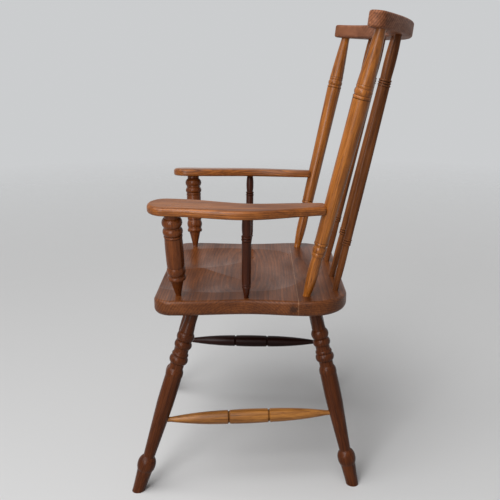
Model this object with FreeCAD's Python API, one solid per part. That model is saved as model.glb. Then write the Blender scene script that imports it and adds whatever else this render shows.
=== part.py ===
import FreeCAD, Part
import math
import os

from FreeCAD import Placement, Rotation, Vector

# A captain's chair of solid wood: a saddled plank seat on four splayed turned legs, two shaped
# arms on turned posts, and a back of turned posts and spindles under a curved crest rail.
# Millimetres and degrees. +Z is up, -Y is the front, and +X is the sitter's left.
# Pieces are laid out from the floor under the middle of the seat, and then moved as one along Y
# so that the origin lies on the floor under the middle of the whole chair.

# Glued joints
glue_gap = 0.1
socket_relief = 1.0
butt_gap = 0.3
bore_overrun = 25.0

# Seat
seat_height = 442.0
seat_thickness = 34.0
seat_depth = 409.0
seat_front_width = 464.0
seat_waist_width = 446.0
seat_rear_width = 466.0
seat_waist_inset = 218.0
seat_front_corner_radius = 38.0
seat_rear_corner_radius = 82.0
seat_top_round = 7.0
seat_bottom_round = 11.0
seat_socket_floor = 12.0
rear_board_width = 107.0

# Saddling of the seat: one wide hollow and two thigh hollows with a ridge between them
saddle_width = 330.0
saddle_length = 250.0
saddle_depth = 8.0
saddle_inset = 214.0
thigh_width = 176.0
thigh_length = 330.0
thigh_depth = 7.0
thigh_spacing = 172.0
thigh_inset = 126.0

# Legs, placed where their centres meet the underside of the seat
front_leg_spacing = 370.0
front_leg_inset = 82.0
front_leg_splay = 7.4
front_leg_rake = 17.4
rear_leg_spacing = 330.0
rear_leg_inset = 70.0
rear_leg_splay = 6.3
rear_leg_rake = 12.8
leg_neck_diameter = 26.0
leg_neck_length = 30.0
leg_flare_length = 22.0
leg_flare_diameter = 30.0
leg_throat_diameter = 30.5
leg_top_bead_diameter = 38.0
leg_top_bead_length = 20.5
leg_middle_bead_diameter = 38.0
leg_middle_bead_length = 16.5
leg_waist_diameter = 31.5
leg_waist_middle_diameter = 30.5
leg_waist_length = 9.5
leg_ledge_diameter = 36.0
leg_ledge_length = 8.5
leg_ledge_groove_diameter = 33.5
leg_main_bead_diameter = 40.5
leg_main_bead_length = 18.0
leg_cove_length = 11.0
leg_shoulder_diameter = 37.5
leg_shoulder_length = 19.0
leg_shaft_diameter = 36.5
leg_shaft_swell_diameter = 37.0
leg_swell_length = 66.0
leg_ankle_diameter = 25.0
leg_instep_diameter = 37.0
leg_foot_diameter = 40.0
leg_ball_diameter = 39.0
leg_foot_length = 84.0
leg_instep_length = 18.0
leg_ball_length = 16.0
leg_ball_end_diameter = 33.5
leg_foot_taper_diameter = 29.5
leg_sole_diameter = 27.0

# Side stretchers, by the heights at which their centres meet the legs
stretcher_front_height = 162.0
stretcher_rear_height = 168.0
stretcher_tenon_diameter = 11.0
stretcher_tenon_setback = 2.0
stretcher_bare_length = 24.0
stretcher_quarter_diameter = 25.0
stretcher_diameter = 30.0
stretcher_middle_diameter = 31.5
stretcher_middle_length = 94.0
stretcher_groove_width = 6.0
stretcher_groove_depth = 3.0

# Arm posts
arm_height = 627.0
arm_post_spacing = 384.0
arm_post_inset = 51.0
arm_post_splay = 10.7
arm_post_rake = 1.5
arm_post_foot_diameter = 12.0
arm_post_foot_length = 3.0
arm_post_cone_length = 36.0
arm_post_cone_diameter = 29.0
arm_post_disc_diameter = 38.5
arm_post_disc_length = 9.0
arm_post_ring_diameter = 39.0
arm_post_ring_length = 18.0
arm_post_groove_diameter = 34.5
arm_post_groove_length = 3.0
arm_post_body_diameter = 36.5
arm_post_body_swell_diameter = 37.5
arm_post_collar_diameter = 38.5
arm_post_collar_length = 6.0
arm_post_lower_bead_diameter = 41.0
arm_post_lower_bead_length = 15.0
arm_post_upper_bead_diameter = 41.5
arm_post_upper_bead_length = 20.0
arm_post_head_diameter = 30.0
arm_post_head_length = 9.0
arm_post_pin_diameter = 16.0

# Arm spindles
arm_spindle_spacing = 410.0
arm_spindle_inset = 194.0
arm_spindle_splay = 10.4
arm_spindle_rake = -0.6
arm_spindle_foot_diameter = 10.0
arm_spindle_foot_length = 3.0
arm_spindle_taper_length = 20.0
arm_spindle_diameter = 19.0
arm_spindle_ring_diameter = 21.0
arm_spindle_ring_length = 6.0
arm_spindle_ring_count = 2
arm_spindle_groove_diameter = 16.5
arm_spindle_head_diameter = 15.0
arm_spindle_head_length = 42.0

# Arms
arm_thickness = 18.0
arm_roll = 5.3
arm_slope = 0.8
arm_front_width = 72.0
arm_elbow_width = 62.0
arm_rear_width = 34.0
arm_overhang = 49.0
arm_front_offset = -9.0
arm_bottom_round = 5.0
arm_top_round = 7.0
arm_tenon_diameter = 12.0
arm_tenon_setback = 3.0
arm_tenon_root = 18.0
arm_socket_floor = 7.0
arm_end_setback = 8.0
arm_end_round = 10.0
arm_outer_taper = 0.2
arm_inner_taper = 0.05

# Back posts
back_post_spacing = 384.0
back_post_inset = 88.0
back_post_foot_diameter = 16.5
back_post_foot_length = 6.0
back_post_lower_middle_diameter = 23.5
back_post_lower_head_diameter = 22.0
back_post_lower_length = 87.0
back_post_lower_ring_diameter = 27.5
back_post_ring_diameter = 29.5
back_post_ring_length = 8.0
back_post_bead_length = 13.0
back_post_groove_diameter = 25.5
back_post_groove_length = 3.0
back_post_body_foot_diameter = 28.5
back_post_body_middle_diameter = 31.5
back_post_body_head_diameter = 34.5
back_post_top_ring_diameter = 35.5
back_post_top_ring_length = 7.0
back_post_top_bead_length = 13.0
back_post_upper_ring_diameter = 33.5
back_post_top_groove_diameter = 31.5
back_post_cone_diameter = 33.0
back_post_cone_length = 94.0
back_post_cone_middle_diameter = 27.0
back_post_head_diameter = 20.0
back_post_head_length = 6.0

# Back spindles
outer_spindle_spacing = 308.0
outer_spindle_inset = 24.0
inner_spindle_spacing = 120.0
inner_spindle_inset = 22.0
back_spindle_foot_diameter = 12.0
back_spindle_foot_length = 6.0
back_spindle_lower_length = 96.0
back_spindle_lower_diameter = 15.0
back_spindle_diameter = 16.0
back_spindle_swell_diameter = 17.0
back_spindle_ring_diameter = 18.0
back_spindle_ring_length = 5.0
back_spindle_ring_count = 3
back_spindle_groove_diameter = 14.0
back_spindle_upper_length = 86.0
back_spindle_head_diameter = 12.5

# Crest rail, by the middle of its underside
crest_height = 963.1
crest_setback = 105.9
crest_tilt = 6.4
crest_radius = 462.0
crest_width = 50.0
crest_end_width = 34.5
crest_thickness = 29.8
crest_end_spacing = 540.0
crest_round = 5.0
crest_socket_floor = 9.0
crest_post_spacing = 511.0
crest_outer_spindle_spacing = 330.0
crest_outer_spindle_offset = 4.0
crest_inner_spindle_spacing = 132.0
crest_inner_spindle_offset = -11.0

up = Vector(0, 0, 1)
across = Vector(1, 0, 0)
along = Vector(0, 1, 0)
seat_front = -seat_depth / 2
seat_rear = seat_depth / 2
seat_underside = seat_height - seat_thickness
seat_tenon_length = seat_thickness - seat_socket_floor
arm_pin_length = arm_thickness - arm_socket_floor
crest_pin_length = crest_thickness - crest_socket_floor


class Turning:
    """The profile of a piece turned on a lathe, followed from its lower end to its upper end."""

    def __init__(self, diameter, allowance=0.0):
        self.allowance = allowance
        self.point = Vector(diameter / 2 + allowance, 0, 0)
        self.edges = [Part.makeLine(Vector(0, 0, 0), self.point)]

    def reach(self, length, diameter):
        return Vector(diameter / 2 + self.allowance, 0, self.point.z + length)

    def diameter(self):
        return 2 * (self.point.x - self.allowance)

    def run(self, length, diameter=None):
        """A straight stretch, parallel or tapering to a diameter."""
        end = self.reach(length, self.diameter() if diameter is None else diameter)
        self.edges.append(Part.makeLine(self.point, end))
        self.point = end

    def step(self, diameter):
        """A square shoulder."""
        if abs(diameter - self.diameter()) > 1e-6:
            self.run(0, diameter)

    def groove(self, width, depth):
        """A narrow V cut into a stretch of one diameter."""
        outer = self.diameter()
        self.run(width / 2, outer - 2 * depth)
        self.run(width / 2, outer)

    def swell(self, length, middle, end=None):
        """An arc that passes through a diameter half way: a bead, a cove or a long swelling."""
        last = self.reach(length, self.diameter() if end is None else end)
        half_way = self.reach(length / 2, middle)
        if abs(half_way.x - (self.point.x + last.x) / 2) < 1e-4:
            self.run(length, end)
            return
        self.edges.append(Part.Arc(self.point, half_way, last).toBSpline().toShape())
        self.point = last

    def solid(self):
        centre = Vector(0, 0, self.point.z)
        self.edges.append(Part.makeLine(self.point, centre))
        self.edges.append(Part.makeLine(centre, Vector(0, 0, 0)))
        face = Part.Face(Part.Wire(self.edges))
        return face.revolve(Vector(0, 0, 0), up, 360)


class Axis:
    """The centre line of a turned piece, from the surface that it leaves to the one it reaches."""

    def __init__(self, start, end):
        self.start = start
        self.end = end
        self.length = (end - start).Length
        self.direction = (end - start).normalize()

    def at(self, distance):
        return self.start + self.direction * distance

    def at_height(self, height):
        return self.at((height - self.start.z) / self.direction.z)

    def placed(self, shape, below):
        """Move a shape made on the Z axis on to this line, its foot so far below the start."""
        shape.Placement = Placement(self.at(-below), Rotation(up, self.direction))
        return shape


def bore(mouth, inward, depth, diameter):
    """The waste of a drilled socket, with its clearance and some length outside the mouth."""
    radius = diameter / 2 + glue_gap
    start = mouth - inward * bore_overrun
    return Part.makeCylinder(radius, bore_overrun + depth + socket_relief, start, inward)


def half_space(point, normal):
    """A large block on the side of a plane that its normal points to."""
    half = seat_height + crest_height
    block = Part.makeBox(2 * half, 2 * half, half, Vector(-half, -half, 0))
    block.Placement = Placement(point, Rotation(up, normal))
    return block


def mirrored(shape):
    return shape.mirror(Vector(0, 0, 0), across)


def leaning(start, splay, rake, height):
    """The line that leaves a point upward or downward, leaning outward and forward."""
    rise = height - start.z
    outward = abs(rise) * math.tan(math.radians(splay))
    forward = abs(rise) * math.tan(math.radians(rake))
    return Axis(start, start + Vector(outward, -forward, rise))


def spline(points, first=None, last=None):
    """A smooth curve through points, with its end directions where they are given."""
    curve = Part.BSplineCurve()
    if first is None:
        curve.interpolate(Points=points)
    else:
        curve.interpolate(Points=points, InitialTangent=first, FinalTangent=last)
    return curve.toShape()


def upright(edge):
    first = edge.Vertexes[0].Point
    last = edge.Vertexes[-1].Point
    return (last - first).cross(up).Length < 1e-6


def rounded(solid, normal, lower, upper):
    """Round the rims of a flat board's two broad faces."""
    rims = {"lower": [], "upper": []}
    for face in solid.Faces:
        if not isinstance(face.Surface, Part.Plane):
            continue
        facing = face.normalAt(0, 0).dot(normal)
        if facing > 0.99:
            rims["upper"] += face.Edges
        if facing < -0.99:
            rims["lower"] += face.Edges
    solid = solid.makeFillet(lower, rims["lower"])
    upper_rim = []
    for edge in solid.Edges:
        if any(edge.CenterOfMass.isEqual(rim.CenterOfMass, 1e-3) for rim in rims["upper"]):
            upper_rim.append(edge)
    return solid.makeFillet(upper, upper_rim)


# Centre lines of every turned piece on the sitter's left


def leg_axis(spacing, y, splay, rake):
    return leaning(Vector(spacing / 2, y, seat_underside), splay, rake, 0)


def seat_point(spacing, y):
    return Vector(spacing / 2, y, seat_height)


def crest_point(spacing, offset=0.0):
    """Where a piece meets the crest rail's underside, so far behind the rail's middle line."""
    x = spacing / 2
    forward = crest_radius - math.sqrt(crest_radius ** 2 - x ** 2) - offset
    tilt = math.radians(crest_tilt)
    middle = Vector(0, seat_rear + crest_setback, crest_height)
    return middle + Vector(x, -forward * math.cos(tilt), forward * math.sin(tilt))


front_leg_axis = leg_axis(front_leg_spacing, seat_front + front_leg_inset,
                          front_leg_splay, front_leg_rake)
rear_leg_axis = leg_axis(rear_leg_spacing, seat_rear - rear_leg_inset,
                         rear_leg_splay, -rear_leg_rake)
stretcher_axis = Axis(front_leg_axis.at_height(stretcher_front_height),
                      rear_leg_axis.at_height(stretcher_rear_height))
arm_post_axis = leaning(seat_point(arm_post_spacing, seat_front + arm_post_inset),
                        arm_post_splay, arm_post_rake, arm_height)
back_post_axis = Axis(seat_point(back_post_spacing, seat_rear - back_post_inset),
                      crest_point(crest_post_spacing))
outer_spindle_axis = Axis(seat_point(outer_spindle_spacing, seat_rear - outer_spindle_inset),
                          crest_point(crest_outer_spindle_spacing, crest_outer_spindle_offset))
inner_spindle_axis = Axis(seat_point(inner_spindle_spacing, seat_rear - inner_spindle_inset),
                          crest_point(crest_inner_spindle_spacing, crest_inner_spindle_offset))

# The arm lies on a plane through the arm post's head, rolled outward and sloping to the rear
arm_rotation = Rotation(along, arm_roll).multiply(Rotation(across, -arm_slope))
arm_up = arm_rotation.multVec(up)
arm_origin = arm_post_axis.end


def meet_arm(axis):
    """Where a line meets the underside of the arm."""
    travel = (arm_origin - axis.start).dot(arm_up) / axis.direction.dot(arm_up)
    return axis.at(travel)


arm_spindle_line = leaning(seat_point(arm_spindle_spacing, seat_front + arm_spindle_inset),
                           arm_spindle_splay, arm_spindle_rake, arm_height)
arm_spindle_axis = Axis(arm_spindle_line.start, meet_arm(arm_spindle_line))
arm_end = back_post_axis.at_height(meet_arm(back_post_axis).z + arm_thickness / 2)


def make_leg(axis):
    """A turned leg, long enough to be levelled on the floor, with its socket end on top."""
    spare = leg_sole_diameter
    head = (leg_neck_length + leg_flare_length + leg_top_bead_length + leg_middle_bead_length
            + leg_waist_length + leg_ledge_length + leg_main_bead_length + leg_cove_length
            + leg_shoulder_length)
    shaft = axis.length - head - leg_swell_length - leg_foot_length
    leg = Turning(leg_neck_diameter)
    leg.run(seat_tenon_length + leg_neck_length)
    leg.run(leg_flare_length, leg_flare_diameter)
    leg.swell(leg_top_bead_length, leg_top_bead_diameter, leg_throat_diameter)
    leg.swell(leg_middle_bead_length, leg_middle_bead_diameter, leg_waist_diameter)
    leg.swell(leg_waist_length, leg_waist_middle_diameter)
    leg.swell(leg_ledge_length, leg_ledge_diameter, leg_ledge_groove_diameter)
    leg.swell(leg_main_bead_length, leg_main_bead_diameter, leg_throat_diameter)
    leg.run(leg_cove_length)
    leg.swell(leg_shoulder_length, leg_shoulder_diameter, leg_shaft_diameter)
    leg.swell(leg_swell_length, leg_shaft_swell_diameter)
    leg.run(shaft, leg_ankle_diameter)
    leg.swell(leg_instep_length, leg_instep_diameter, leg_foot_diameter)
    leg.swell(leg_ball_length, leg_ball_diameter, leg_ball_end_diameter)
    leg.swell(leg_foot_length - leg_instep_length - leg_ball_length, leg_foot_taper_diameter,
              leg_sole_diameter)
    leg.run(spare)
    solid = axis.placed(leg.solid(), seat_tenon_length)
    solid = solid.cut(half_space(Vector(0, 0, 0), -up))
    return solid


def drill_leg(leg, mouth, direction):
    inward = -direction
    start = mouth + direction * stretcher_tenon_setback
    return leg.cut(bore(start, inward, 0, stretcher_tenon_diameter))


def make_stretcher():
    """A side stretcher: a tapered end, a swollen middle between two grooves, a tapered end."""
    ends = (stretcher_axis.length - stretcher_middle_length) / 2 - stretcher_tenon_setback
    bare = stretcher_bare_length - stretcher_tenon_setback
    taper = ends - bare
    piece = Turning(stretcher_tenon_diameter)
    piece.run(bare)
    piece.swell(taper, stretcher_quarter_diameter, stretcher_diameter)
    piece.groove(stretcher_groove_width, stretcher_groove_depth)
    piece.swell(stretcher_middle_length - 2 * stretcher_groove_width, stretcher_middle_diameter)
    piece.groove(stretcher_groove_width, stretcher_groove_depth)
    piece.swell(taper, stretcher_quarter_diameter, stretcher_tenon_diameter)
    piece.run(bare)
    return stretcher_axis.placed(piece.solid(), -stretcher_tenon_setback)


def make_arm_post():
    """A stout turned post: a cone on the seat, rings, a plain body and two beads."""
    fixed = (arm_post_foot_length + arm_post_cone_length + arm_post_disc_length
             + arm_post_ring_length + 3 * arm_post_groove_length + arm_post_collar_length
             + arm_post_lower_bead_length + arm_post_upper_bead_length + arm_post_head_length)
    body = arm_post_axis.length - fixed
    post = Turning(arm_post_foot_diameter)
    post.run(seat_tenon_length + arm_post_foot_length)
    post.run(arm_post_cone_length, arm_post_cone_diameter)
    post.step(arm_post_groove_diameter)
    post.swell(arm_post_disc_length, arm_post_disc_diameter)
    post.run(arm_post_groove_length)
    post.swell(arm_post_ring_length, arm_post_ring_diameter)
    post.run(arm_post_groove_length)
    post.step(arm_post_body_diameter)
    post.swell(body, arm_post_body_swell_diameter)
    post.step(arm_post_groove_diameter)
    post.swell(arm_post_collar_length, arm_post_collar_diameter)
    post.swell(arm_post_lower_bead_length, arm_post_lower_bead_diameter)
    post.run(arm_post_groove_length)
    post.swell(arm_post_upper_bead_length, arm_post_upper_bead_diameter,
               arm_post_head_diameter)
    post.run(arm_post_head_length + arm_pin_length)
    solid = arm_post_axis.placed(post.solid(), seat_tenon_length)
    seat_on_arm = half_space(arm_origin - arm_up * butt_gap, arm_up)
    pin = Part.makeCylinder(arm_post_pin_diameter / 2, arm_post_head_length + arm_pin_length,
                            arm_post_axis.at(arm_post_axis.length - arm_post_head_length),
                            arm_post_axis.direction)
    return solid.cut(seat_on_arm).fuse(pin).removeSplitter()


def make_arm_spindle():
    """A slim turned spindle between the seat and the arm."""
    rings = arm_spindle_ring_count * arm_spindle_ring_length
    fixed = (arm_spindle_foot_length + arm_spindle_taper_length + 2 * rings
             + arm_spindle_head_length)
    piece = Turning(arm_spindle_foot_diameter)
    piece.run(seat_tenon_length + arm_spindle_foot_length)
    piece.run(arm_spindle_taper_length, arm_spindle_groove_diameter)
    for ring in range(arm_spindle_ring_count):
        piece.swell(arm_spindle_ring_length, arm_spindle_diameter)
    piece.step(arm_spindle_diameter)
    piece.run(arm_spindle_axis.length - fixed)
    piece.step(arm_spindle_groove_diameter)
    for ring in range(arm_spindle_ring_count):
        piece.swell(arm_spindle_ring_length, arm_spindle_ring_diameter)
    piece.swell(arm_spindle_head_length, arm_spindle_diameter, arm_spindle_head_diameter)
    piece.run(arm_pin_length)
    return arm_spindle_axis.placed(piece.solid(), seat_tenon_length)


def turn_back_post(allowance=0.0):
    """A back post, or with an allowance the space that it needs."""
    low = (back_post_foot_length + back_post_lower_length + back_post_ring_length
           + back_post_bead_length + back_post_groove_length + back_post_ring_length)
    high = (2 * back_post_top_ring_length + back_post_top_bead_length
            + back_post_cone_length + back_post_head_length)
    post = Turning(back_post_foot_diameter, allowance)
    post.run(seat_tenon_length + back_post_foot_length)
    post.swell(back_post_lower_length, back_post_lower_middle_diameter,
               back_post_lower_head_diameter)
    post.step(back_post_groove_diameter)
    post.swell(back_post_ring_length, back_post_lower_ring_diameter)
    post.swell(back_post_bead_length, back_post_ring_diameter)
    post.run(back_post_groove_length)
    post.swell(back_post_ring_length, back_post_ring_diameter)
    post.step(back_post_body_foot_diameter)
    post.swell(back_post_axis.length - low - high, back_post_body_middle_diameter,
               back_post_body_head_diameter)
    post.step(back_post_top_groove_diameter)
    post.swell(back_post_top_ring_length, back_post_top_ring_diameter)
    post.swell(back_post_top_bead_length, back_post_top_ring_diameter)
    post.swell(back_post_top_ring_length, back_post_upper_ring_diameter)
    post.step(back_post_cone_diameter)
    post.swell(back_post_cone_length, back_post_cone_middle_diameter, back_post_head_diameter)
    post.run(back_post_head_length + crest_pin_length)
    return back_post_axis.placed(post.solid(), seat_tenon_length)


def make_back_spindle(axis):
    """A slim back spindle with fine rings low down and again near the top."""
    rings = back_spindle_ring_count * back_spindle_ring_length
    body = (axis.length - back_spindle_foot_length - back_spindle_lower_length
            - back_spindle_upper_length - 2 * rings)
    piece = Turning(back_spindle_foot_diameter)
    piece.run(seat_tenon_length + back_spindle_foot_length)
    piece.swell(back_spindle_lower_length, back_spindle_lower_diameter,
                back_spindle_groove_diameter)
    for ring in range(back_spindle_ring_count):
        piece.swell(back_spindle_ring_length, back_spindle_ring_diameter)
    piece.step(back_spindle_diameter)
    piece.swell(body, back_spindle_swell_diameter)
    piece.step(back_spindle_groove_diameter)
    for ring in range(back_spindle_ring_count):
        piece.swell(back_spindle_ring_length, back_spindle_ring_diameter)
    piece.swell(back_spindle_upper_length, back_spindle_diameter, back_spindle_head_diameter)
    piece.run(crest_pin_length)
    return axis.placed(piece.solid(), seat_tenon_length)


def make_arm():
    """A shaped arm, coped to the back post and tenoned into it."""
    post_end = arm_rotation.inverted().multVec(arm_end - arm_origin)
    elbow = arm_rotation.inverted().multVec(arm_spindle_axis.end - arm_origin)
    front = Vector(arm_front_offset, arm_front_width / 2 - arm_overhang, 0)
    tip = Vector(arm_front_offset, -arm_overhang, 0)

    def side(sign):
        return [front + across * (sign * arm_front_width / 2),
                Vector(elbow.x + sign * arm_elbow_width / 2, elbow.y, 0),
                Vector(post_end.x + sign * arm_rear_width / 2, post_end.y - arm_end_setback, 0)]

    outer = side(1)
    inner = side(-1)
    outer_edge = spline(outer, along, along - across * arm_outer_taper)
    inner_edge = spline(inner, along, along + across * arm_inner_taper)
    front_edge = Part.Arc(outer[0], tip, inner[0]).toShape()
    rear_edge = Part.makeLine(outer[2], inner[2])
    outline = Part.Wire(Part.__sortEdges__([outer_edge, front_edge, inner_edge, rear_edge]))
    board = Part.Face(outline).extrude(up * arm_thickness)
    corners = [edge for edge in board.Edges if upright(edge) and edge.CenterOfMass.y > elbow.y]
    board = board.makeFillet(arm_end_round, corners)
    board = rounded(board, up, arm_bottom_round, arm_top_round)
    board.Placement = Placement(arm_origin, arm_rotation)
    board = board.cut(turn_back_post(butt_gap))
    root = back_post_body_middle_diameter / 2 + arm_tenon_root
    tenon = Part.makeCylinder(arm_tenon_diameter / 2, root - arm_tenon_setback,
                              arm_end - along * arm_tenon_setback, -along)
    board = board.fuse(tenon).removeSplitter()
    for axis, diameter, depth in ((arm_post_axis, arm_post_pin_diameter, arm_pin_length),
                                  (arm_spindle_axis, arm_spindle_head_diameter,
                                   arm_pin_length)):
        board = board.cut(bore(axis.end, axis.direction, depth, diameter))
    return board


def make_back_post():
    post = turn_back_post()
    depth = back_post_body_middle_diameter / 2
    mouth = arm_end - along * (depth + arm_tenon_setback)
    return post.cut(bore(mouth, along, depth, arm_tenon_diameter))


def scoop(x, y, width, length, depth):
    """A shallow hollow's waste: a flat arc along Y, swung about a high axis parallel to Y."""
    along_radius = ((length / 2) ** 2 + depth ** 2) / (2 * depth)
    across_radius = ((width / 2) ** 2 + depth ** 2) / (2 * depth)
    over = 2 * depth
    low = Vector(x, y, seat_height - depth)
    half = math.sqrt(along_radius ** 2 - (along_radius - depth - over) ** 2)
    ends = [Vector(x, y - half, seat_height + over), Vector(x, y + half, seat_height + over)]
    arc = Part.Arc(ends[0], low, ends[1]).toShape()
    face = Part.Face(Part.Wire([arc, Part.makeLine(ends[1], ends[0])]))
    pivot = Vector(x, y, seat_height - depth + across_radius)
    swing = math.degrees(math.acos((across_radius - depth - over) / across_radius))
    face.rotate(pivot, along, -swing)
    return face.revolve(pivot, along, 2 * swing)


def make_seat():
    """The seat blank, rounded, saddled, drilled for everything that stands in it."""
    corner = seat_front_corner_radius
    front_x = seat_front_width / 2
    rear_x = seat_rear_width / 2
    waist = Vector(seat_waist_width / 2, seat_front + seat_waist_inset, 0)
    front_end = Vector(front_x, seat_front + corner, 0)
    rear_end = Vector(rear_x, seat_rear - seat_rear_corner_radius, 0)
    diagonal = math.sqrt(0.5)

    def corner_arc(x, y, radius, facing):
        centre = Vector(x - radius, y - facing * radius, 0)
        middle = centre + Vector(radius * diagonal, facing * radius * diagonal, 0)
        return Part.Arc(centre + across * radius, middle,
                        centre + along * (facing * radius)).toShape()

    half = [corner_arc(front_x, seat_front, corner, -1),
            spline([front_end, waist, rear_end], along, along),
            corner_arc(rear_x, seat_rear, seat_rear_corner_radius, 1)]
    edges = half + [mirrored(edge) for edge in half]
    for x, y in ((front_x - corner, seat_front), (rear_x - seat_rear_corner_radius, seat_rear)):
        edges.append(Part.makeLine(Vector(-x, y, 0), Vector(x, y, 0)))
    outline = Part.Wire(Part.__sortEdges__(edges))
    blank = Part.Face(outline).extrude(up * seat_thickness)
    blank.translate(up * seat_underside)
    blank = rounded(blank, up, seat_bottom_round, seat_top_round)
    waste = [scoop(0, seat_front + saddle_inset, saddle_width, saddle_length, saddle_depth)]
    for side in (-1, 1):
        waste.append(scoop(side * thigh_spacing / 2, seat_front + thigh_inset,
                           thigh_width, thigh_length, thigh_depth))
    sockets = []
    for axis in (front_leg_axis, rear_leg_axis):
        sockets.append(bore(axis.start, -axis.direction, seat_tenon_length, leg_neck_diameter))
    for axis, diameter, depth in ((arm_post_axis, arm_post_foot_diameter, seat_tenon_length),
                                  (arm_spindle_axis, arm_spindle_foot_diameter,
                                   seat_tenon_length),
                                  (back_post_axis, back_post_foot_diameter,
                                   seat_tenon_length),
                                  (outer_spindle_axis, back_spindle_foot_diameter,
                                   seat_tenon_length),
                                  (inner_spindle_axis, back_spindle_foot_diameter,
                                   seat_tenon_length)):
        sockets.append(bore(axis.start, -axis.direction, depth, diameter))
    for piece in waste + sockets + [mirrored(socket) for socket in sockets]:
        blank = blank.cut(piece)
    return blank


def make_crest_rail():
    """A flat board sawn to a curve, narrower at its round ends, lying on the heads of the back."""
    angle = math.asin(crest_end_spacing / 2 / crest_radius)
    centre = Vector(0, -crest_radius, 0)

    def on(offset, turn):
        return centre + Vector(math.sin(turn), math.cos(turn), 0) * (crest_radius + offset)

    def long_edge(side):
        end = side * crest_end_width / 2
        return Part.Arc(on(end, -angle), on(side * crest_width / 2, 0), on(end, angle)).toShape()

    def end_arc(turn):
        half = crest_end_width / 2
        past = Vector(math.cos(turn), -math.sin(turn), 0) * math.copysign(half, turn)
        return Part.Arc(on(-half, turn), on(0, turn) + past, on(half, turn)).toShape()

    edges = [long_edge(1), long_edge(-1), end_arc(angle), end_arc(-angle)]
    outline = Part.Wire(Part.__sortEdges__(edges))
    board = rounded(Part.Face(outline).extrude(up * crest_thickness), up, crest_round, crest_round)
    board.Placement = Placement(crest_point(0), Rotation(across, -crest_tilt))
    for axis, diameter, depth in ((back_post_axis, back_post_head_diameter, crest_pin_length),
                                  (outer_spindle_axis, back_spindle_head_diameter,
                                   crest_pin_length),
                                  (inner_spindle_axis, back_spindle_head_diameter,
                                   crest_pin_length)):
        socket = bore(axis.end, axis.direction, depth, diameter)
        board = board.cut(socket).cut(mirrored(socket))
    return board


def make_chair():
    """Every piece of the chair, by its name."""
    seat = make_seat()
    glue_line = half_space(Vector(0, seat_rear - rear_board_width, 0), along)
    front_leg = drill_leg(make_leg(front_leg_axis), stretcher_axis.start,
                          stretcher_axis.direction)
    rear_leg = drill_leg(make_leg(rear_leg_axis), stretcher_axis.end,
                         -stretcher_axis.direction)
    left = {
        "leg_front": front_leg,
        "leg_rear": rear_leg,
        "side_stretcher": make_stretcher(),
        "arm_post": make_arm_post(),
        "arm_spindle": make_arm_spindle(),
        "arm": make_arm(),
        "back_post": make_back_post(),
        "back_spindle_outer": make_back_spindle(outer_spindle_axis),
        "back_spindle_inner": make_back_spindle(inner_spindle_axis),
    }
    pieces = {
        "seat_front_board": seat.cut(glue_line),
        "seat_rear_board": seat.common(glue_line),
        "crest_rail": make_crest_rail(),
    }
    for name, shape in left.items():
        pieces[name + "_left"] = shape
        pieces[name + "_right"] = mirrored(shape)
    return pieces


def main():
    os.makedirs("parts", exist_ok=True)
    pieces = make_chair()
    box = Part.makeCompound(list(pieces.values())).optimalBoundingBox(False, False)
    to_origin = Vector(0, -box.Center.y, 0)
    for name, shape in sorted(pieces.items()):
        shape = shape.copy()
        shape.translate(to_origin)
        shape.exportStep("parts/" + name + ".step")
        print(name, "solids", len(shape.Solids), "valid", shape.isValid(),
              "volume", round(shape.Volume))
    print("size", round(box.XLength), round(box.YLength), round(box.ZLength),
          "moved", to_origin)


main()
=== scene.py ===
# %% [markdown]
# # A captain's chair in varnished wood
# This lesson dresses a turned and saddled wooden armchair. Every piece of the chair comes from the
# construction model, at its real size and place, so nothing is modelled again here. The work is in
# the looks: the grain of each board and turning, the stain, the worn varnish, and a quiet studio.
# Lengths are in metres. +Z is up, -Y is the chair's front and +X is the sitter's left.

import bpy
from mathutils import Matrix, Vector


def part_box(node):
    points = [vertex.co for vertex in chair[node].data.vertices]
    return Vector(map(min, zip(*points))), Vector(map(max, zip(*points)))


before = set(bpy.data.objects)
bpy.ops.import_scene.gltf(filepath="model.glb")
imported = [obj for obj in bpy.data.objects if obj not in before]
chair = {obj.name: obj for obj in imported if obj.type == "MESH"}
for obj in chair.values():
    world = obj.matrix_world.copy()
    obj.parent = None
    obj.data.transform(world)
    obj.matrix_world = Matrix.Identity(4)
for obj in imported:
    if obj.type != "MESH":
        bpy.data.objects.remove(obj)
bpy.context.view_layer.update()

# %% [markdown]
# ## The camera
# The photograph was taken from the chair's left, from a little under the height of its crest rail,
# looking down at the seat. A camera could be placed by eye, but then every piece would be judged
# from a wrong angle. So this one was fitted first: to the seat's level rims, to feet that stand on
# one floor, and to the chair's size. The picture was framed a little to one side of the lens's
# middle, which a small shift repeats. The Standard view transform shows a colour as it is written.

# %% Place the camera
import bpy
import math
from mathutils import Matrix, Vector

camera_place = Vector((1.518, -0.0195, 0.919))
camera_pitch = math.radians(15.9)
camera_turn = math.radians(0.46)
sensor_width = 36.0
focal_length = 48.1
frame_shift = -0.009

camera_data = bpy.data.cameras.new("camera")
camera_data.sensor_width = sensor_width
camera_data.lens = focal_length
camera_data.shift_x = frame_shift
camera = bpy.data.objects.new("camera", camera_data)
bpy.context.scene.collection.objects.link(camera)
aim = Vector((-math.cos(camera_pitch) * math.cos(camera_turn),
              -math.cos(camera_pitch) * math.sin(camera_turn),
              -math.sin(camera_pitch)))
camera.location = camera_place
camera.rotation_mode = "QUATERNION"
camera.rotation_quaternion = aim.to_track_quat("-Z", "Y")
bpy.context.scene.camera = camera
bpy.context.scene.view_settings.view_transform = "Standard"
print("camera at", tuple(round(c, 4) for c in camera_place), "lens", focal_length, "mm")

# %% [markdown]
# ## A small workshop of nodes
# A procedural material is a chain of small machines. Each could be added and joined by hand, in
# three or four lines a node, but then the recipe drowns in them. So one class holds a finish while
# it is made, with a short method for each machine that the wood needs. A value that is the same
# all over a surface goes straight on the shader's own socket, where an export finds it.

# %% Helpers that build a finish


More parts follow.
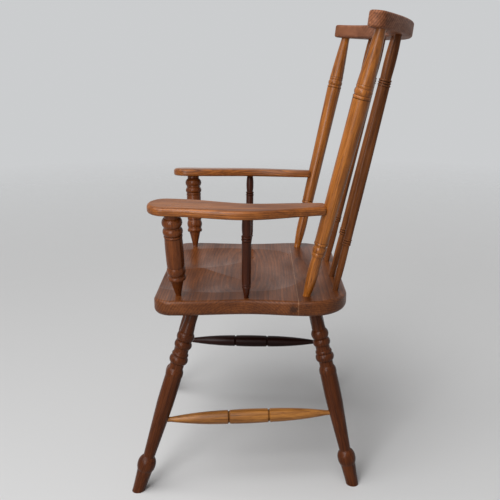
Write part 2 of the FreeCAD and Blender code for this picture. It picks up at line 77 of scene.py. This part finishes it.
class Finish:
    """A material under construction: its shader, and a way to add and join nodes."""

    def __init__(self, name):
        self.material = bpy.data.materials.new(name)
        self.material.use_nodes = True
        self.tree = self.material.node_tree
        self.shader = self.tree.nodes["Principled BSDF"]
        self.colour = None

    def node(self, kind, inputs=None, **settings):
        """Add a node. Inputs are numbers, colours or another node's output."""
        made = self.tree.nodes.new("ShaderNode" + kind)
        for key, value in settings.items():
            setattr(made, key, value)
        for key, value in (inputs or {}).items():
            self.plug(value, made.inputs[key])
        return made

    def plug(self, value, socket):
        """Join a node's output to a socket, or set the socket's own value."""
        if isinstance(value, bpy.types.NodeSocket):
            self.tree.links.new(value, socket)
        else:
            socket.default_value = value

    def paint(self, colour):
        """Send a colour to the shader, and keep it for what is painted over it later."""
        self.colour = colour
        self.plug(colour, self.shader.inputs["Base Color"])

    def math(self, operation, first, second=0.0):
        """One step of arithmetic. ABSOLUTE takes the first number alone."""
        return self.node("Math", {0: first, 1: second}, operation=operation).outputs[0]

    def spread(self, value, low, high, new_low=0.0, new_high=1.0):
        """Stretch a range of values to another range, and cut off what lies outside."""
        made = self.node("MapRange", {"Value": value, "From Min": low, "From Max": high,
                                      "To Min": new_low, "To Max": new_high})
        return made.outputs[0]

    def blend(self, amount, first, second):
        """The first colour where the amount is 0, and the second where it is 1."""
        made = self.node("MixRGB", {"Fac": amount, "Color1": first, "Color2": second})
        return made.outputs[0]

    def ramp(self, value, *stops):
        """Turn a value into a colour, by stops of (place, colour)."""
        made = self.node("ValToRGB", {"Fac": value})
        elements = made.color_ramp.elements
        while len(elements) < len(stops):
            elements.new(1.0)
        for element, (place, colour) in zip(elements, stops):
            element.position = place
            element.color = colour
        return made.outputs[0]


def tone(red, green, blue):
    """A solid colour, in the linear values that shaders work with."""
    return (red, green, blue, 1.0)


print("machines:", [key for key in vars(Finish) if not key.startswith("_")])

# %% [markdown]
# ## Which way the grain runs
# A turner takes a billet that was split or sawn along the grain, so the grain follows the length
# of each leg, post and spindle. The seat boards and the crest rail run from side to side, and the
# arms from front to rear. The slant of every leg and post could be typed in, but it is safer to
# measure it on the piece: it is the line along which the piece's points spread most.

# %% Measure each piece's own direction
import numpy as np


def points_of(name):
    """The points of a piece's mesh, one row each."""
    mesh = chair[name].data
    flat = np.zeros(len(mesh.vertices) * 3, np.float32)
    mesh.vertices.foreach_get("co", flat)
    return flat.reshape(-1, 3).astype(float)


def long_axis(name):
    """The middle of a piece and the direction of its length, pointing up or to the rear."""
    points = points_of(name)
    middle = (points.min(axis=0) + points.max(axis=0)) / 2
    spread = np.linalg.svd(points - points.mean(axis=0), full_matrices=False)[2][0]
    if spread[2] + spread[1] < 0:
        spread = -spread
    return Vector(middle), Vector(spread)


for name in ("leg_front_left", "back_post_left", "side_stretcher_left"):
    middle, direction = long_axis(name)
    print(name, [round(c, 3) for c in middle], [round(c, 3) for c in direction])

# %% [markdown]
# ## Rings and fibres
# Wood is a stack of cones: each year's ring wraps round the pith, pale where it grew in spring
# and dark where it grew in late summer. A board shows what the saw uncovers. Stripes painted on
# the surface would have to be bent by hand on every curve. So the rings here are real rings in
# space, round a pith line that lies beside the piece, and straight stripes, arches and ovals
# appear by themselves where the shape cuts them. Fibres, streaks and pores are noise drawn out
# along the same line. At a scale of 1, the wave texture's rings are a tenth of pi apart.

# %% Follow the grain
wave_ring = math.pi / 10
ring_stretch = 0.05
ring_wander = 3.0
spring_to_late = ((0.0, 0.0), (0.5, 0.3), (0.88, 1.0), (1.0, 0.1))


def grain_place(finish, middle, direction, pith):
    """Coordinates whose Z axis runs along the grain and whose origin lies on the pith."""
    rotation = direction.to_track_quat("Z", "Y")
    place = finish.node("TexCoord").outputs["Object"]
    made = finish.node("Mapping", {"Vector": place, "Location": middle + pith,
                                   "Rotation": rotation.to_euler()}, vector_type="TEXTURE")
    return made.outputs[0]


def squeeze(finish, grain, amount):
    """Shorten the coordinates along the grain, which draws a pattern out."""
    made = finish.node("Mapping", {"Vector": grain, "Scale": (1.0, 1.0, amount)})
    return made.outputs[0]


def year_rings(finish, grain, width):
    """From 0 in the spring wood to 1 in the late wood, where the next ring starts at once."""
    rings = finish.node("TexWave", {"Vector": squeeze(finish, grain, ring_stretch),
                                    "Scale": wave_ring / width, "Distortion": ring_wander,
                                    "Detail": 2.0, "Detail Scale": 0.12,
                                    "Detail Roughness": 0.6},
                        wave_type="RINGS", rings_direction="Z", wave_profile="SAW")
    stops = [(place, tone(grey, grey, grey)) for place, grey in spring_to_late]
    return finish.ramp(rings.outputs["Fac"], *stops)


def fibres(finish, grain, per_metre, stretch, detail=2.0):
    """Noise drawn out along the grain."""
    made = finish.node("TexNoise", {"Vector": squeeze(finish, grain, stretch),
                                    "Scale": per_metre, "Detail": detail, "Roughness": 0.6})
    return made.outputs["Fac"]


print("rings of 4 mm need a wave scale of", round(wave_ring / 0.004, 1))

# %% [markdown]
# ## How deep the stain lies
# Stain is brushed on and wiped off. It shows darker on the late wood and in streaks along the
# grain, varies from fibre to fibre, and lies in soft patches where the cloth left more. Each of
# these could be a colour of its own, but one pot of stain gives one family of browns. So they are
# added up to a single number, the depth, and one ramp of three tones colours it.

# %% Add up the depth of the stain
fine_fibres = {"per_metre": 700.0, "stretch": 0.04, "detail": 3.0}
broad_fibres = {"per_metre": 190.0, "stretch": 0.05}
dark_streaks = {"per_metre": 330.0, "stretch": 0.025, "detail": 3.0}
wiped_patches = {"per_metre": 16.0, "stretch": 0.35, "detail": 3.0}
fibre_low, fibre_high = 0.35, 0.65
streak_edge, streak_core = 0.54, 0.68
patch_low, patch_high = 0.32, 0.68
fine_swing = 0.12
broad_swing = 0.16
least_patch = 0.05


def stain_depth(finish, grain, ring, fine, patches, rings, streaks, blotches):
    """From 0, where the stain is thin, to 1, where it is deepest."""
    broad = fibres(finish, grain, **broad_fibres)
    dark_line = finish.spread(fibres(finish, grain, **dark_streaks), streak_edge, streak_core)
    depth = finish.math("MULTIPLY", ring, rings)
    most_patch = least_patch + blotches
    for part in (finish.spread(fine, fibre_low, fibre_high, -fine_swing, fine_swing),
                 finish.spread(broad, fibre_low, fibre_high, -broad_swing, broad_swing),
                 finish.math("MULTIPLY", dark_line, streaks),
                 finish.spread(patches, patch_low, patch_high, least_patch, most_patch)):
        depth = finish.math("ADD", depth, part)
    return depth


print("fibres from", 1000 / fine_fibres["per_metre"], "to", 1000 / broad_fibres["per_metre"], "mm")

# %% [markdown]
# ## Darker grooves and paler edges
# The grooves of a turning are painted darker than the open surface. The edges of the seat, the
# arms and the crest rail are painted paler: partly the stain that hands polish off, and partly a
# painted highlight, the glint that runs along each arris. Both could be painted on by hand, piece
# by piece, but the shape itself says where they are. The ambient occlusion node looks a few
# millimetres around: outward, it finds the grooves, and inward, it finds the sharp edges.

# %% Find the grooves and the edges
groove_reach = 0.009
groove_edge, groove_core = 0.86, 0.42
# How much darker the grooves are painted.
groove_darkening = 0.85
edge_reach = 0.006
edge_start, edge_full = 0.62, 0.30


def near_walls(finish, reach, inside):
    """1 on an open, flat place, and less where walls stand within reach."""
    made = finish.node("AmbientOcclusion", {"Distance": reach}, samples=8, only_local=True,
                       inside=inside)
    return made.outputs["AO"]


def grooves(finish):
    """0 on the open surface, up to how much darker a groove is painted."""
    outward = near_walls(finish, groove_reach, False)
    return finish.spread(outward, groove_edge, groove_core, 0.0, groove_darkening)


def worn_and_highlit_edges(finish, wear):
    """0 away from the edges, up to the full paling on a sharp one: partly wear, partly a painted
    highlight.
    """
    inward = near_walls(finish, edge_reach, True)
    return finish.spread(inward, edge_start, edge_full, 0.0, wear)


print("grooves are sought within", groove_reach, "m and edges within", edge_reach, "m")

# %% [markdown]
# ## The wood recipe
# A finished turning is wood, stain, a dark tone in the pores and grooves and a thin varnish, in
# that order, so the recipe puts them on in that order too. The pores are short and dark and stay
# open under the varnish, so they mark the colour and the relief alike. The grooves are painted
# darker towards the same dark tone. The varnish is a little duller in some patches than in others,
# and dull in the grooves, which breaks up a reflection as hand-rubbed wood does.

# %% Mix the wood
open_pores = {"per_metre": 1100.0, "stretch": 0.07, "detail": 1.0}
pore_edge, pore_core = 0.60, 0.72
pore_dirt = 0.4
# A dark tone for the pores, and the tone that the grooves are painted darker towards.
dark_in_pores_and_grooves = tone(0.010, 0.004, 0.002)
middle_depth = 0.45
ring_relief = 0.25
fibre_relief = 0.5
relief_height = 0.0003
relief_strength = 0.2
dull_low, dull_high = 0.3, 0.7
smoother, rougher = 0.07, 0.10
groove_roughness = 0.3


def wood(name, middle, direction, pith, tones, ring_width, rings=0.2, streaks=0.35,
         blotches=0.45, wear=0.0, roughness=0.36, shine=0.35):
    """A stained and varnished wood. The tones are those of thin, middling and deep stain."""
    finish = Finish(name)
    grain = grain_place(finish, middle, direction, pith)
    ring = year_rings(finish, grain, ring_width)
    fine = fibres(finish, grain, **fine_fibres)
    pores = finish.spread(fibres(finish, grain, **open_pores), pore_edge, pore_core)
    patches = fibres(finish, grain, **wiped_patches)
    in_groove = grooves(finish)

    depth = stain_depth(finish, grain, ring, fine, patches, rings, streaks, blotches)
    # Edges are painted paler: partly stain worn off, partly a painted highlight along the arris.
    if wear:
        depth = finish.math("SUBTRACT", depth, worn_and_highlit_edges(finish, wear))
    colour = finish.ramp(depth, *zip((0.0, middle_depth, 1.0), tones))
    colour = finish.blend(finish.math("MULTIPLY", pores, pore_dirt), colour, dark_in_pores_and_grooves)
    # The grooves are painted darker, towards the same dark tone.
    finish.paint(finish.blend(in_groove, colour, dark_in_pores_and_grooves))

    height = finish.math("SUBTRACT", finish.math("MULTIPLY", ring, ring_relief), pores)
    height = finish.math("ADD", height, finish.math("MULTIPLY", fine, fibre_relief))
    bump = finish.node("Bump", {"Height": height, "Strength": relief_strength,
                                "Distance": relief_height})
    finish.plug(bump.outputs[0], finish.shader.inputs["Normal"])

    varnish = finish.spread(patches, dull_low, dull_high,
                            roughness - smoother, roughness + rougher)
    varnish = finish.math("ADD", varnish, finish.math("MULTIPLY", in_groove, groove_roughness))
    finish.plug(varnish, finish.shader.inputs["Roughness"])
    finish.shader.inputs["Specular IOR Level"].default_value = shine
    return finish


def dress(name, finish):
    """Put a finish on a piece of the chair, without touching its shape."""
    chair[name].material_slots[0].material = finish.material


print("pores of about", round(1000 / open_pores["per_metre"], 1), "mm across the grain")

# %% [markdown]
# ## The stains
# The chair was made up and mended over the years, and its pieces took the stain differently.
# The left stretcher and the back posts are honey coloured, the arms are golden brown, the legs
# and arm posts are a deep red brown, the seat is a softer brown, and the spindles and the crest
# rail are redder and flatter. The right stretcher is painted almost black, which is painted shade:
# it is given the colour it shows in the shadow under the seat. Each kind could have three colours
# picked for it, but thin and deep films of one stain differ in a regular way. So a kind has one
# middle tone, and the same two films, thin and thick, give its other two.

# %% Colours of each kind of piece
thin_film = (1.75, 1.89, 2.0125)
thick_film = (0.40, 0.34, 0.32)


def stain(*middle):
    """Three tones from the middle one: a thin film is paler and less red, a thick one darker."""
    thin, thick = (tone(*(part * share for part, share in zip(middle, film)))
                   for film in (thin_film, thick_film))
    return thin, tone(*middle), thick


stains = {
    "leg": stain(0.072, 0.0170, 0.0034),
    "arm_post": stain(0.120, 0.030, 0.0060),
    "arm_spindle": stain(0.055, 0.0125, 0.004),
    "arm": stain(0.270, 0.083, 0.0150),
    "back_post": stain(0.300, 0.092, 0.0120),
    "back_spindle": stain(0.155, 0.047, 0.0110),
    "crest": stain(0.270, 0.100, 0.046),
    "seat": stain(0.132, 0.038, 0.0090),
    "pale_stretcher": stain(0.270, 0.103, 0.021),
    # Painted shade: the right stretcher takes the colour it shows in the shadow under the seat.
    "dark_stretcher": stain(0.018, 0.004, 0.002),
}
print("stains:", ", ".join(stains))

# %% [markdown]
# ## Turned pieces
# No two turnings come from the same place in a log. One finish could dress them all, but then
# each leg would show the same streaks at the same height. So each gets its own pith, at its own
# distance and side: a billet near the heart of the tree shows wide ovals, and one from further
# out shows straight lines. The numbers are the pith's distance in metres and its side, in turns
# round the piece. The looks hold the varnish of each kind, glossy on the legs and flat on the
# back spindles.

# %% Finish the turnings
turnings = [
    ("leg_front_left", "leg", 0.045, 0.06),
    ("leg_front_right", "leg", 0.060, 0.33),
    ("leg_rear_left", "leg", 0.052, 0.19),
    ("leg_rear_right", "leg", 0.040, 0.64),
    ("arm_post_left", "arm_post", 0.050, 0.03),
    ("arm_post_right", "arm_post", 0.035, 0.52),
    ("arm_spindle_left", "arm_spindle", 0.030, 0.14),
    ("arm_spindle_right", "arm_spindle", 0.040, 0.41),
    ("back_post_left", "back_post", 0.060, 0.10),
    ("back_post_right", "back_post", 0.050, 0.46),
    ("back_spindle_outer_left", "back_spindle", 0.040, 0.05),
    ("back_spindle_outer_right", "back_spindle", 0.030, 0.35),
    ("back_spindle_inner_left", "back_spindle", 0.050, 0.24),
    ("back_spindle_inner_right", "back_spindle", 0.036, 0.60),
    ("side_stretcher_left", "pale_stretcher", 0.040, 0.13),
    # The right stretcher's colour is painted shade from the seat's shadow.
    ("side_stretcher_right", "dark_stretcher", 0.045, 0.38),
]
turning_looks = {
    "leg": {"roughness": 0.24, "shine": 0.15},
    "arm_post": {"roughness": 0.26, "shine": 0.20},
    "arm_spindle": {"roughness": 0.28, "shine": 0.16},
    "back_post": {"roughness": 0.28, "shine": 0.34, "streaks": 0.65},
    "back_spindle": {"roughness": 0.40, "shine": 0.16},
    "pale_stretcher": {"roughness": 0.34, "shine": 0.30, "streaks": 0.45},
    "dark_stretcher": {"roughness": 0.30, "shine": 0.14},
}
turning_ring_width = 0.0028
for name, kind, distance, turn in turnings:
    middle, direction = long_axis(name)
    sideways = direction.to_track_quat("Z", "Y") @ Vector((distance, 0, 0))
    pith = Matrix.Rotation(math.tau * turn, 3, direction) @ sideways
    dress(name, wood(name + "_wood", middle, direction, pith, stains[kind], turning_ring_width,
                     **turning_looks[kind]))
print("turnings dressed:", len(turnings))

# %% [markdown]
# ## Boards
# The seat is two boards glued edge to edge, and the saddle is dished out of both. They were sawn
# from the side of a log, so the pith lies well below, and the dished hollow cuts arches into what
# would be straight stripes on a flat board. The arms and the crest rail are sawn to shape from
# thinner boards. The crest rail's ends show end grain: its pith lies far in front of it and
# above, so the rings cross the end as slanting lines. Here the pith is a vector from the middle
# of the piece, because for a board the side on which it lies matters most.

# %% Finish the boards
side_to_side = Vector((1, 0, 0))
boards = [
    ("seat_front_board", "seat", side_to_side, (0, 0.03, -0.080), 0.0050),
    ("seat_rear_board", "seat", side_to_side, (0, -0.02, -0.095), 0.0042),
    ("crest_rail", "crest", side_to_side, (0, -0.150, 0.085), 0.0042),
    ("arm_left", "arm", None, (0.03, 0, -0.050), 0.0040),
    ("arm_right", "arm", None, (-0.02, 0, -0.055), 0.0040),
]
# The edge setting paints the edges paler: partly wear, partly a painted highlight.
board_looks = {
    "seat": {"rings": 0.36, "roughness": 0.34, "shine": 0.24, "streaks": 0.20, "wear": 0.6},
    "crest": {"rings": 0.60, "roughness": 0.50, "shine": 0.18, "wear": 0.25, "blotches": 0.35},
    "arm": {"rings": 0.45, "roughness": 0.30, "shine": 0.30, "wear": 0.5},
}
board_finishes = {}
for name, kind, direction, pith, ring_width in boards:
    middle, measured = long_axis(name)
    board_finishes[name] = wood(name + "_wood", middle, direction or measured, Vector(pith),
                                stains[kind], ring_width, **board_looks[kind])
    dress(name, board_finishes[name])
print("boards dressed:", len(boards))

# %% [markdown]
# ## The glue line and a knot
# The joint between the two seat boards shows as a thin pale line, where the varnish has cracked
# and lifted. Beside it, on the left edge of the seat, the front board ends in a small dark knot.
# Thin pieces could be laid on the seat for them, but both are only colour in the wood. So they
# are drawn by the distance from a place on the seat, which the frame gives, and a little noise
# breaks the line up and roughens the knot's outline.

# %% Find the joint and the knot
front_low, front_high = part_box("seat_front_board")
joint_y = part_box("seat_rear_board")[0][1]
knot_before_joint = 0.009
knot_place = (front_high[0], joint_y - knot_before_joint, (front_low[2] + front_high[2]) / 2)
print("glue line at y =", round(joint_y, 4), "knot at", [round(c, 4) for c in knot_place])

# %% Draw them on the seat
line_half = 0.0011
line_patches = 60.0
line_gap_low, line_gap_high = 0.35, 0.55
line_faint, line_strong = 0.25, 0.75
pale_line = tone(0.36, 0.20, 0.11)
knot_size = 0.013
knot_core = 0.3 * knot_size
outline_patches = 150.0
outline_low, outline_high = 0.3, 0.7
outline_swing = 0.004
knot_strength = 0.8
knot_tone = tone(0.022, 0.006, 0.002)


def with_glue_line(finish, place, colour):
    """Lay the pale, broken line of the joint over a colour."""
    y = finish.node("SeparateXYZ", {0: place}).outputs["Y"]
    away = finish.math("ABSOLUTE", finish.math("SUBTRACT", y, joint_y))
    broken = finish.spread(fibres(finish, place, line_patches, 1.0),
                           line_gap_low, line_gap_high, line_faint, line_strong)
    on_line = finish.math("MULTIPLY", finish.spread(away, line_half, 0.0), broken)
    return finish.blend(on_line, colour, pale_line)


def with_knot(finish, place, colour):
    """Lay the dark knot over a colour."""
    from_knot = finish.node("VectorMath", {0: place, 1: knot_place}, operation="DISTANCE")
    uneven = finish.spread(fibres(finish, place, outline_patches, 1.0),
                           outline_low, outline_high, -outline_swing, outline_swing)
    reach = finish.math("ADD", from_knot.outputs["Value"], uneven)
    in_knot = finish.spread(reach, knot_size, knot_core, 0.0, knot_strength)
    return finish.blend(in_knot, colour, knot_tone)


for name in ("seat_front_board", "seat_rear_board"):
    finish = board_finishes[name]
    place = finish.node("TexCoord").outputs["Object"]
    finish.paint(with_knot(finish, place, with_glue_line(finish, place, finish.colour)))
print("line", 2 * line_half, "m wide, knot", 2 * knot_size, "m across")

# %% [markdown]
# ## The light
# The light is soft, so that the wood's own colours lead. One lamp over the camera would do that,
# but it leaves a turning flat. A tall window behind the camera and a little to the chair's front
# draws a streak down each turning and a patch on each bead. Light from overhead, spread as wide
# as a ceiling, lies on the seat and the arms and leaves the rear of each post dark.

# %% Light the chair
chair_middle = Vector((0.0, 0.0, 0.55))
window_width, window_height = 0.9, 2.2
window_watts = 34
window_place = (2.1, -0.95, 1.45)
ceiling_spread = math.radians(60)
ceiling_strength = 1.9
ceiling_place = (0.9, -1.3, 3.2)


def hang(name, data, place):
    """Put a lamp at a place, aimed at the middle of the chair."""
    lamp = bpy.data.objects.new(name, data)
    lamp.location = place
    lamp.rotation_mode = "QUATERNION"
    lamp.rotation_quaternion = (chair_middle - Vector(place)).to_track_quat("-Z", "Y")
    bpy.context.scene.collection.objects.link(lamp)


window = bpy.data.lights.new("window", "AREA")
window.shape = "RECTANGLE"
window.size = window_width
window.size_y = window_height
window.energy = window_watts
hang("window", window, window_place)

overhead = bpy.data.lights.new("overhead", "SUN")
overhead.angle = ceiling_spread
overhead.energy = ceiling_strength
hang("overhead", overhead, ceiling_place)

# %% [markdown]
# ## The room
# The room gives only a low, even light, but whoever looks at it, directly or in a reflection,
# sees the pale background. A brighter world would give that background too, and would wash the
# chair out. So the world shows one colour to what looks at it and lights with another.

# %% Close the room
room_grey = 0.16
background = tone(0.60, 0.61, 0.62)


def seen_directly(tree):
    """1 for a ray that comes from the camera, straight or by a reflection or through glass."""
    rays = tree.nodes.new("ShaderNodeLightPath")
    total = rays.outputs["Is Camera Ray"]
    for kind in ("Is Glossy Ray", "Is Transmission Ray"):
        either_ray = tree.nodes.new("ShaderNodeMath")
        either_ray.operation = "MAXIMUM"
        tree.links.new(total, either_ray.inputs[0])
        tree.links.new(rays.outputs[kind], either_ray.inputs[1])
        total = either_ray.outputs[0]
    return total


world = bpy.data.worlds.new("room")
bpy.context.scene.world = world
world.use_nodes = True
room = world.node_tree
room_light = room.nodes["Background"]
room_light.inputs["Color"].default_value = tone(room_grey, room_grey, room_grey)
seen = room.nodes.new("ShaderNodeBackground")
seen.inputs["Color"].default_value = background
shown = room.nodes.new("ShaderNodeMixShader")
room.links.new(seen_directly(room), shown.inputs["Fac"])
room.links.new(room_light.outputs[0], shown.inputs[1])
room.links.new(seen.outputs[0], shown.inputs[2])
room.links.new(shown.outputs[0], room.nodes["World Output"].inputs["Surface"])
print("the room lights with", room_grey, "and shows", background[:3])

# %% [markdown]
# ## The floor
# A plain pale floor keeps the chair's shadow. An endless one would show a horizon, so far from
# the chair it turns clear and fades into the background. To the light that bounces up under the
# chair it is as dark as an ordinary wooden floor, so that the undersides stay dark.

# %% Lay the floor
floor_half = 12.0
fade_start = 1.6
fade_end = 5.0
floor_bounce = tone(0.22, 0.21, 0.20)
floor_seen = tone(0.70, 0.70, 0.70)
floor_roughness = 0.6
floor_shine = 0.1

floor_mesh = bpy.data.meshes.new("floor")
floor_mesh.from_pydata([(-floor_half, -floor_half, 0), (floor_half, -floor_half, 0),
                        (floor_half, floor_half, 0), (-floor_half, floor_half, 0)],
                       [], [(0, 1, 2, 3)])
floor = bpy.data.objects.new("floor", floor_mesh)
bpy.context.scene.collection.objects.link(floor)

pale_floor = Finish("pale_floor")
far_away = pale_floor.node("VectorMath", {0: pale_floor.node("TexCoord").outputs["Object"]},
                           operation="LENGTH").outputs["Value"]
pale_floor.paint(pale_floor.blend(seen_directly(pale_floor.tree), floor_bounce, floor_seen))
pale_floor.shader.inputs["Roughness"].default_value = floor_roughness
pale_floor.shader.inputs["Specular IOR Level"].default_value = floor_shine
pale_floor.plug(pale_floor.spread(far_away, fade_start, fade_end, 1.0, 0.0),
                pale_floor.shader.inputs["Alpha"])
floor_mesh.materials.append(pale_floor.material)
print("floor:", 2 * floor_half, "m square")

# %% [markdown]
# ## Sizes
# A finish must not change a size.
